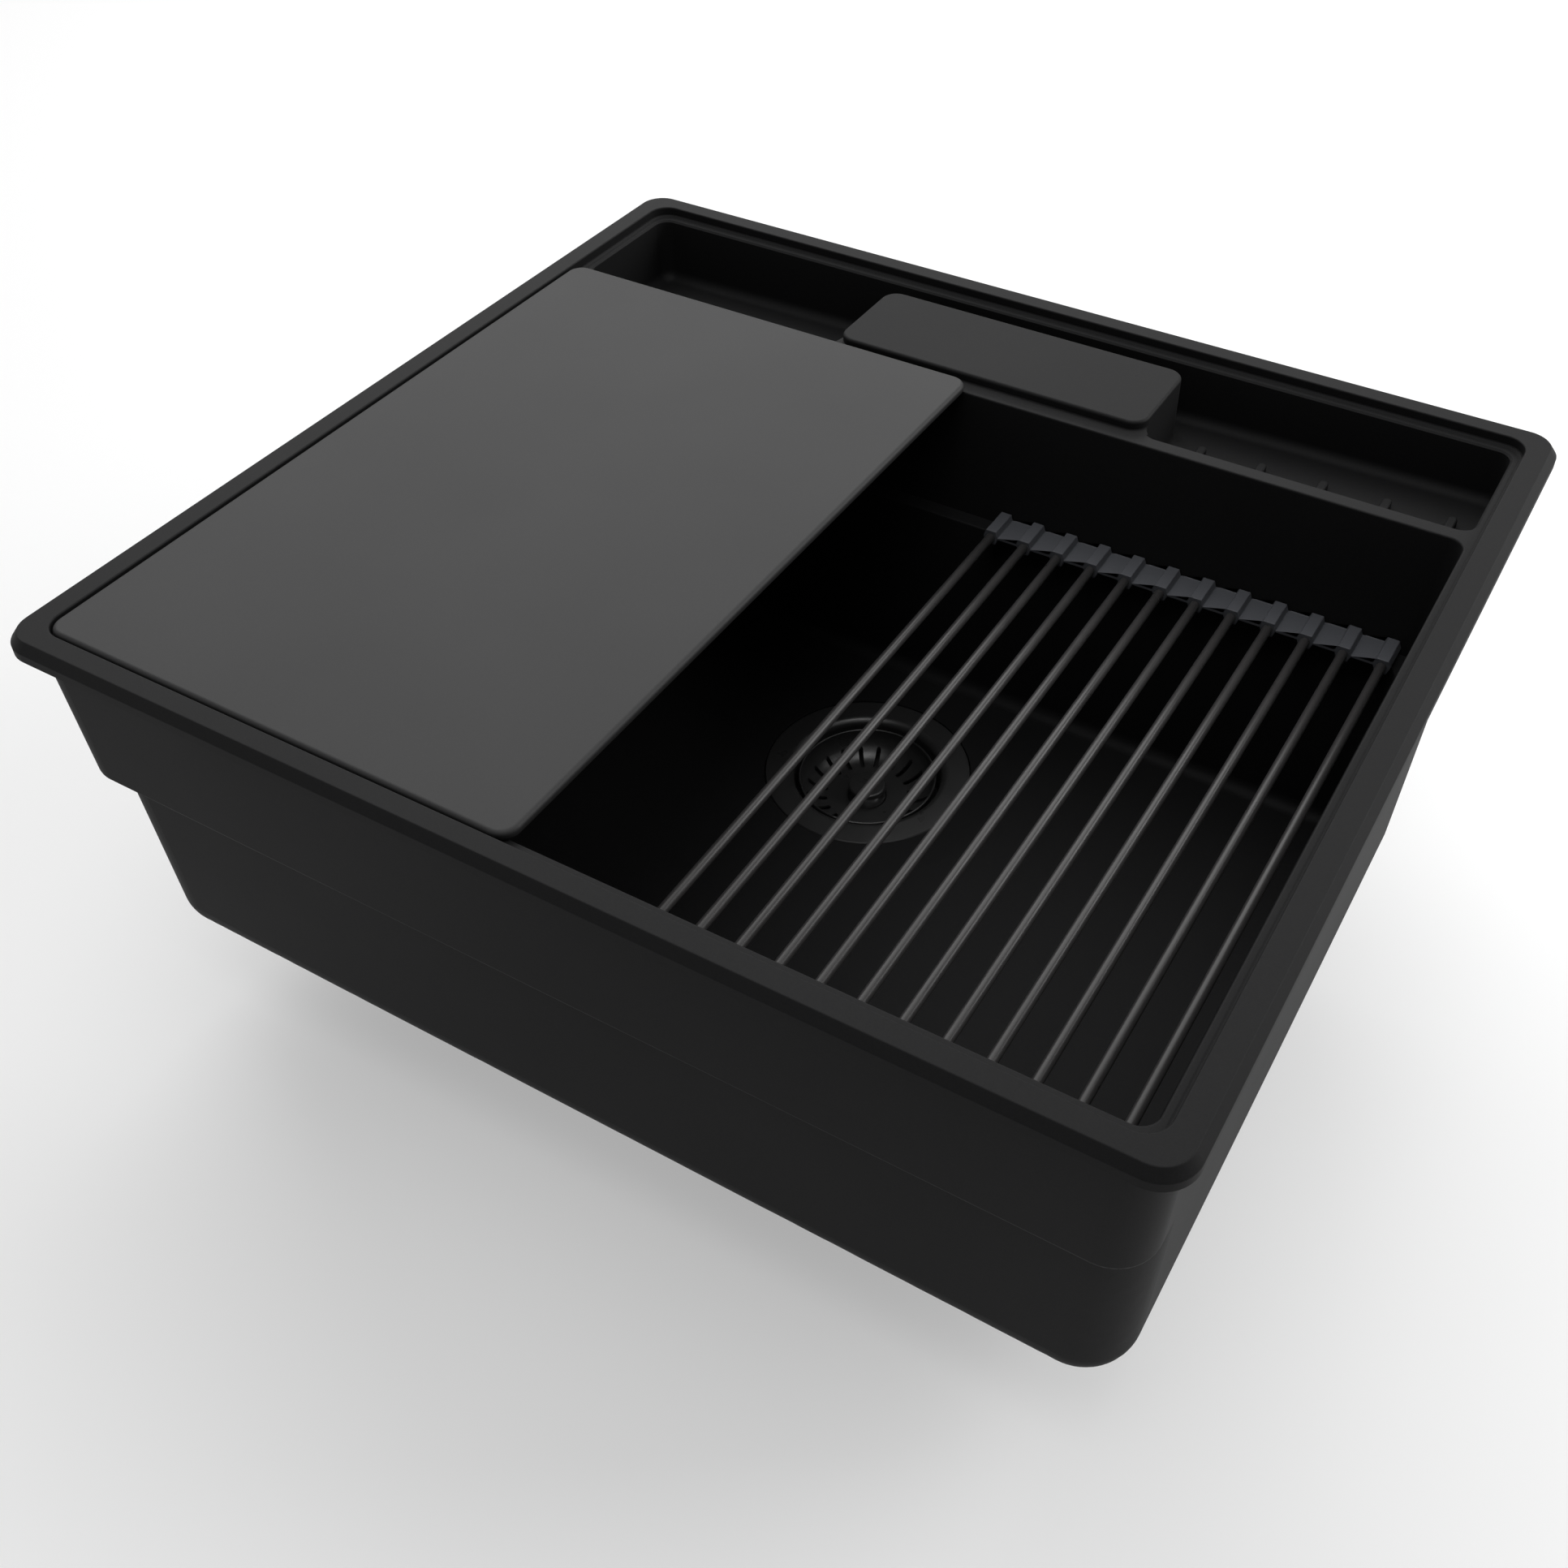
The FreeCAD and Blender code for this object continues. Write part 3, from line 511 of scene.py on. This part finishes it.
def grained_material(name, colour, roughness, grain_size, fleck, bump, specular):
    """A matt moulded material with a fine grain."""
    material, tree, shader = new_material(name)
    grain = group_node(tree, "mineral_grain")
    grain.inputs["Colour"].default_value = colour
    grain.inputs["Grains per metre"].default_value = 1.0 / grain_size
    grain.inputs["Fleck strength"].default_value = fleck
    grain.inputs["Roughness"].default_value = roughness
    grain.inputs["Roughness spread"].default_value = GRAIN_ROUGHNESS_SPREAD
    tree.links.new(grain.outputs["Colour"], shader.inputs["Base Color"])
    tree.links.new(grain.outputs["Roughness"], shader.inputs["Roughness"])
    shader.inputs["Specular IOR Level"].default_value = specular
    add_bump(tree, shader, grain.outputs["Height"], bump)
    return material


def coated_material(name, colour, roughness, peel, bump, specular):
    """A satin coated metal surface."""
    material, tree, shader = new_material(name)
    coat = group_node(tree, "satin_coat")
    coat.inputs["Roughness"].default_value = roughness
    coat.inputs["Peel per metre"].default_value = peel
    tree.links.new(coat.outputs["Roughness"], shader.inputs["Roughness"])
    shader.inputs["Base Color"].default_value = colour
    shader.inputs["Specular IOR Level"].default_value = specular
    add_bump(tree, shader, coat.outputs["Height"], bump)
    return material


def bare_metal(name, colour, roughness):
    """A bare metal surface, with the soft unevenness of the satin coat."""
    material = coated_material(
        name, colour, roughness, peel=900.0, bump=0.000004, specular=0.5
    )
    shader = material.node_tree.nodes["Principled BSDF"]
    shader.inputs["Metallic"].default_value = 1.0
    return material


def dress(node, material):
    """Gives a loaded part its material."""
    piece = frame["nodes"][node]
    piece.data.materials.clear()
    piece.data.materials.append(material)


# Operators


class SINK_OT_effects(bpy.types.Operator):
    """Build the node groups that the sink's materials share"""

    bl_idname = "sink.effects"
    bl_label = "Surface effects"

    def execute(self, context):
        build_grain_group()
        build_satin_group()
        return {"FINISHED"}


class SINK_OT_shell(bpy.types.Operator):
    """Finish the moulded shell as matt black composite"""

    bl_idname = "sink.shell"
    bl_label = "Moulded shell"

    def execute(self, context):
        look = context.scene.sink_finish
        material = grained_material(
            "moulded_composite",
            look.composite_colour,
            look.composite_roughness,
            look.grain_size,
            fleck=0.16,
            bump=0.000012,
            specular=0.08,
        )
        dress("sink_shell", material)
        return {"FINISHED"}


class SINK_OT_board(bpy.types.Operator):
    """Finish the cutting board as matt black board"""

    bl_idname = "sink.board"
    bl_label = "Cutting board"

    def execute(self, context):
        look = context.scene.sink_finish
        material = grained_material(
            "board_black",
            look.board_colour,
            look.board_roughness,
            look.grain_size,
            fleck=0.06,
            bump=0.000008,
            specular=0.17,
        )
        dress("cutting_board", material)
        return {"FINISHED"}


def make_rod(shape, low, high, sides):
    """A round rod along Y with slightly rounded ends."""
    centre = (low + high) / 2
    radius = (high.x - low.x) / 2
    edge = radius * ROD_EDGE_SHARE
    bend = edge * ROD_EDGE_BEND
    stations = [
        (low.y, radius - edge),
        (low.y + bend, radius - bend),
        (low.y + edge, radius),
        (high.y - edge, radius),
        (high.y - bend, radius - bend),
        (high.y, radius - edge),
    ]
    rings = []
    for y, width in stations:
        rings.append(ring_of_points(shape, Vector((centre.x, y, centre.z)), width, sides))
    for first, second in zip(rings, rings[1:]):
        bridge(shape, first, second)
    shape.faces.new(rings[0])
    shape.faces.new(rings[-1])


class SINK_OT_rods(bpy.types.Operator):
    """Build the drying rack's round rods"""

    bl_idname = "sink.rods"
    bl_label = "Rack rods"

    def execute(self, context):
        sizes = context.scene.sink_rack
        material = coated_material(
            "rod_black",
            sizes.rod_colour,
            roughness=0.32,
            peel=300.0,
            bump=0.000001,
            specular=0.2,
        )
        for node, (low, high) in zip(ROD_NODES, ROD_BOXES):
            name = node.replace("mat_rod", "rack_rod")
            rod = finish_mesh(name, lambda shape: make_rod(shape, low, high, sizes.rod_sides))
            rod.data.materials.append(material)
            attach(rod, BODY_RACK)
            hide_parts(node)
        return {"FINISHED"}


def strip_section(centres, middle, half_height):
    """The strip's outline across the rods: a six-sided block on each rod."""
    half = BLOCK_WIDTH / 2
    flat = half * BLOCK_FLAT_SHARE
    web = WEB_THICKNESS / 2
    cut = half - (half - flat) * web / half_height
    upper = []
    for index, x in enumerate(centres):
        first = index == 0
        last = index == len(centres) - 1
        if first:
            upper.append((x - half, middle))
        else:
            upper.append((x - cut, middle + web))
        upper.append((x - flat, middle + half_height))
        upper.append((x + flat, middle + half_height))
        if last:
            upper.append((x + half, middle))
        else:
            upper.append((x + cut, middle + web))
    lower = [(x, 2 * middle - z) for x, z in reversed(upper[1:-1])]
    return upper + lower


def make_strip(shape, low, high):
    """A soft end strip as one moulded body along Y."""
    centres = [(box[0].x + box[1].x) / 2 for box in ROD_BOXES]
    middle = (low.z + high.z) / 2
    section = strip_section(centres, middle, (high.z - low.z) / 2)
    front = [shape.verts.new((x, low.y, z)) for x, z in section]
    rear = [shape.verts.new((x, high.y, z)) for x, z in section]
    bridge(shape, front, rear)
    shape.faces.new(front)
    shape.faces.new(rear)
    bmesh.ops.triangulate(shape, faces=[face for face in shape.faces if len(face.verts) > 4])


class SINK_OT_strips(bpy.types.Operator):
    """Build the drying rack's soft end strips"""

    bl_idname = "sink.strips"
    bl_label = "Rack end strips"

    def execute(self, context):
        sizes = context.scene.sink_rack
        material = grained_material(
            "mat_silicone",
            sizes.strip_colour,
            roughness=0.62,
            grain_size=0.0004,
            fleck=0.05,
            bump=0.00001,
            specular=0.35,
        )
        for node, (low, high) in STRIP_BOXES.items():
            name = node.replace("mat_strip", "rack_strip")
            strip = finish_mesh(name, lambda shape: make_strip(shape, low, high))
            round_strip_edges(strip, sizes.strip_rounding)
            strip.data.materials.append(material)
            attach(strip, BODY_RACK)
            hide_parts(node)
        return {"FINISHED"}


class SINK_OT_strainer(bpy.types.Operator):
    """Finish the strainer's coated metal, and the rubber of its seals and stopper"""

    bl_idname = "sink.strainer"
    bl_label = "Basket strainer"

    def execute(self, context):
        look = context.scene.sink_strainer
        material = coated_material(
            "strainer_black",
            look.strainer_colour,
            roughness=0.32,
            peel=500.0,
            bump=0.000003,
            specular=0.4,
        )
        for node in ("strainer_flange", "strainer_basket", "basket_knob"):
            dress(node, material)
        rubber = grained_material(
            "seal_rubber",
            RUBBER_COLOUR,
            roughness=0.7,
            grain_size=0.0005,
            fleck=0.05,
            bump=0.00001,
            specular=0.3,
        )
        for node in ("flange_seal", "basket_stopper", "waste_gasket"):
            dress(node, rubber)
        return {"FINISHED"}


def thread_ridge(tree):
    """The outlet's screw thread: a ridge from 0 to 1, and 0 off the outlet.

    A turn is one pitch, and the ridge climbs from 0 to a half and back in it.
    """
    place = tree.nodes.new("ShaderNodeSeparateXYZ")
    tree.links.new(object_position(tree), place.inputs[0])
    x = math_node(tree, "SUBTRACT", place.outputs["X"], OUTLET_X)
    y = math_node(tree, "SUBTRACT", place.outputs["Y"], OUTLET_Y)
    turn = math_node(tree, "DIVIDE", math_node(tree, "ARCTAN2", y, x), 2 * math.pi)
    climb = math_node(tree, "DIVIDE", place.outputs["Z"], THREAD_PITCH)
    half_ridge = math_node(tree, "PINGPONG", math_node(tree, "ADD", climb, turn), 0.5)
    ridge = math_node(tree, "MULTIPLY", half_ridge, 2.0)
    square_x = math_node(tree, "MULTIPLY", x, x)
    square_y = math_node(tree, "MULTIPLY", y, y)
    radius = math_node(tree, "SQRT", math_node(tree, "ADD", square_x, square_y), 0.0)
    outside = math_node(tree, "GREATER_THAN", radius, OUTLET_RADIUS - THREAD_DEPTH)
    below_end = math_node(tree, "LESS_THAN", place.outputs["Z"], OUTLET_LENGTH - THREAD_RUNOUT)
    on_outlet = math_node(tree, "MULTIPLY", outside, below_end)
    return math_node(tree, "MULTIPLY", on_outlet, ridge)


def add_thread(material):
    """Puts the outlet's screw thread under a material's grain."""
    tree = material.node_tree
    grain_bump = tree.nodes["Principled BSDF"].inputs["Normal"].links[0].from_node
    add_bump(tree, grain_bump, thread_ridge(tree), THREAD_DEPTH)


class SINK_OT_waste(bpy.types.Operator):
    """Finish the waste body, its nut and the two screws"""

    bl_idname = "sink.waste"
    bl_label = "Waste fitting"

    def execute(self, context):
        look = context.scene.sink_strainer
        plastic = grained_material(
            "waste_plastic",
            look.waste_colour,
            roughness=0.45,
            grain_size=0.0006,
            fleck=0.04,
            bump=0.00001,
            specular=0.45,
        )
        add_thread(plastic)
        dress("waste_body", plastic)
        steel = bare_metal("screw_steel", STEEL_COLOUR, roughness=0.3)
        for node in ("waste_screw", "stopper_screw"):
            dress(node, steel)
        brass = bare_metal("nut_brass", BRASS_COLOUR, roughness=0.32)
        dress("waste_nut", brass)
        return {"FINISHED"}


def add_camera(scene):
    """The camera at the photograph's viewing angle."""
    lens = bpy.data.cameras.new("photo_camera")
    lens.sensor_width = SENSOR_WIDTH_MM
    lens.lens = SENSOR_WIDTH_MM * FOCAL_LENGTH_PIXELS / IMAGE_SIZE
    lens.shift_x = (IMAGE_SIZE / 2 - AXIS_PIXEL_X) / IMAGE_SIZE
    lens.shift_y = (AXIS_PIXEL_Y - IMAGE_SIZE / 2) / IMAGE_SIZE
    camera = bpy.data.objects.new("photo_camera", lens)
    camera.location = (CAMERA_X, CAMERA_Y, RIM_TOP + CAMERA_ABOVE_RIM)
    tilt = math.radians(90.0 - CAMERA_PITCH)
    camera.rotation_euler = Euler((tilt, 0.0, math.radians(CAMERA_YAW)))
    scene.collection.objects.link(camera)
    scene.camera = camera


def add_area_lamp(scene, name, power, size, place):
    """A broad soft lamp that faces the middle of the rim."""
    light = bpy.data.lights.new(name, "AREA")
    light.shape = "RECTANGLE"
    light.size, light.size_y = size
    light.energy = power
    lamp = bpy.data.objects.new(name, light)
    lamp.location = place
    towards_rim = Vector((0.0, 0.0, RIM_TOP)) - Vector(place)
    lamp.rotation_euler = towards_rim.to_track_quat("-Z", "Y").to_euler()
    scene.collection.objects.link(lamp)


def white_to_the_eye(tree):
    """1 for rays from the camera, off gloss or through glass, otherwise 0."""
    path = tree.nodes.new("ShaderNodeLightPath")
    seen = math_node(tree, "MAXIMUM", path.outputs["Is Camera Ray"], path.outputs["Is Glossy Ray"])
    return math_node(tree, "MAXIMUM", seen, path.outputs["Is Transmission Ray"])


def floor_material():
    """A plain pale floor that glows a little to the eye and keeps the shadow."""
    material, tree, shader = new_material("pale_floor")
    shader.inputs["Base Color"].default_value = FLOOR_COLOUR
    shader.inputs["Roughness"].default_value = FLOOR_ROUGHNESS
    shader.inputs["Specular IOR Level"].default_value = 0.0
    glow = tree.nodes.new("ShaderNodeEmission")
    share = math_node(tree, "MULTIPLY", white_to_the_eye(tree), FLOOR_GLOW_SHARE)
    mix = tree.nodes.new("ShaderNodeMixShader")
    tree.links.new(share, mix.inputs[0])
    tree.links.new(shader.outputs[0], mix.inputs[1])
    tree.links.new(glow.outputs[0], mix.inputs[2])
    tree.links.new(mix.outputs[0], tree.nodes["Material Output"].inputs["Surface"])
    return material


def set_sky(scene, strength):
    """A sky that is white to the eye and lights evenly at a low level."""
    world = bpy.data.worlds.new("pale_sky")
    scene.world = world
    world.use_nodes = True
    tree = world.node_tree
    background = tree.nodes["Background"]
    background.inputs["Color"].default_value = SKY_COLOUR
    level = map_range(tree, white_to_the_eye(tree), 0.0, 1.0, strength, 1.0)
    tree.links.new(level, background.inputs["Strength"])


class SINK_OT_stage(bpy.types.Operator):
    """Set the floor, the lamps, the sky and the camera"""

    bl_idname = "sink.stage"
    bl_label = "Stage"

    def execute(self, context):
        scene = context.scene
        settings = scene.sink_stage
        half = settings.floor_size / 2
        mesh = bpy.data.meshes.new("floor")
        corners = [(-half, -half, 0.0), (half, -half, 0.0), (half, half, 0.0), (-half, half, 0.0)]
        mesh.from_pydata(corners, [], [(0, 1, 2, 3)])
        floor = bpy.data.objects.new("floor", mesh)
        mesh.materials.append(floor_material())
        scene.collection.objects.link(floor)
        lamps = (
            ("back_lamp", settings.back_power, BACK_LAMP_SIZE, BACK_LAMP_PLACE),
            ("side_lamp", settings.side_power, SIDE_LAMP_SIZE, SIDE_LAMP_PLACE),
            ("top_lamp", settings.top_power, TOP_LAMP_SIZE, TOP_LAMP_PLACE),
        )
        for name, power, size, place in lamps:
            add_area_lamp(scene, name, power, size, place)
        set_sky(scene, settings.sky_strength)
        add_camera(scene)
        scene.view_settings.view_transform = "Standard"
        return {"FINISHED"}


OPERATORS = (
    SINK_OT_effects,
    SINK_OT_shell,
    SINK_OT_board,
    SINK_OT_rods,
    SINK_OT_strips,
    SINK_OT_strainer,
    SINK_OT_waste,
    SINK_OT_stage,
)


class SINK_PT_panel(bpy.types.Panel):
    """Lists the sink's pieces"""

    bl_idname = "SINK_PT_panel"
    bl_label = "Workstation sink"
    bl_space_type = "VIEW_3D"
    bl_region_type = "UI"
    bl_category = "Sink"

    def draw(self, context):
        for operator in OPERATORS:
            self.layout.operator(operator.bl_idname)


SETTINGS = {
    "sink_finish": SinkFinish,
    "sink_rack": RackSizes,
    "sink_strainer": StrainerFinish,
    "sink_stage": StageSettings,
}


def register():
    """Adds the settings, the operators and the panel."""
    for name, group in SETTINGS.items():
        bpy.utils.register_class(group)
        setattr(bpy.types.Scene, name, PointerProperty(type=group))
    for operator in OPERATORS:
        bpy.utils.register_class(operator)
    bpy.utils.register_class(SINK_PT_panel)


def unregister():
    """Takes away the panel, the operators and the settings."""
    bpy.utils.unregister_class(SINK_PT_panel)
    for operator in reversed(OPERATORS):
        bpy.utils.unregister_class(operator)
    for name, group in SETTINGS.items():
        delattr(bpy.types.Scene, name)
        bpy.utils.unregister_class(group)


def build_sink():
    register()
    bpy.ops.sink.effects()
    bpy.ops.sink.shell()
    bpy.ops.sink.board()
    bpy.ops.sink.rods()
    bpy.ops.sink.strips()
    bpy.ops.sink.strainer()
    bpy.ops.sink.waste()
    bpy.ops.sink.stage()


if __name__ == "__main__":
    build_sink()
